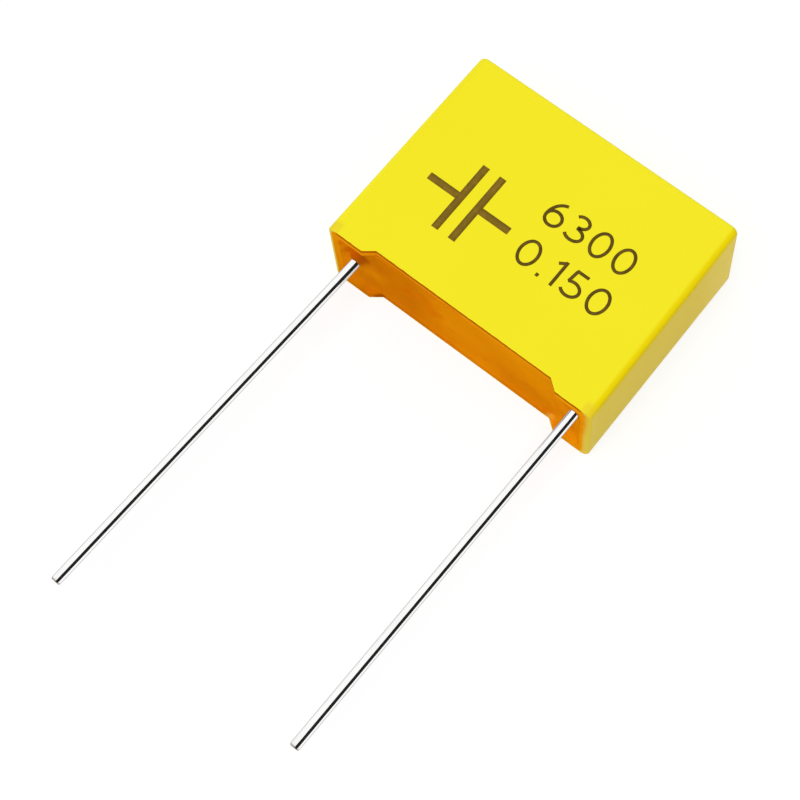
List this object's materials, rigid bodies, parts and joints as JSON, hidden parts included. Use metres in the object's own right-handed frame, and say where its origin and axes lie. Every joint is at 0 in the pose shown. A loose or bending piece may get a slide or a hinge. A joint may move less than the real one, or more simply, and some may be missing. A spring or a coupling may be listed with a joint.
{
  "type": "box film capacitor",
  "caption": "Radial through-hole capacitor: flattened film roll with sprayed ends and welded wire leads, set in resin in a moulded box with standoff feet.",
  "frame": {"origin": "centre of the flat back face, on which the part rests", "axes": "+X along the width, from the left lead to the right lead; +Y from the standoff feet to the closed end, so the leads point to -Y; +Z out of the marked face, away from the surface it rests on"},
  "size_m": [0.018, 0.0374, 0.0065],
  "materials": {
    "case_plastic": "smooth moulded thermoplastic, satin gloss",
    "resin": "cast epoxy with a soft skin, slightly wavy",
    "metallised_film": "wound metallised film, silvery",
    "plain_film": "plain film, clear and glossy, over the silver winding",
    "sprayed_metal": "sprayed zinc, matt and grainy",
    "tinned_wire": "bright tin plate on drawn wire",
    "marking_ink": "thin brown marking ink"
  },
  "bodies": {
    "root": {"case": "case_plastic", "potting": "resin", "winding": "metallised_film", "cover_wrap": "plain_film", "end_spray_left": "sprayed_metal", "end_spray_right": "sprayed_metal", "lead_left": "tinned_wire", "lead_right": "tinned_wire"}
  },
  "joints": []
}
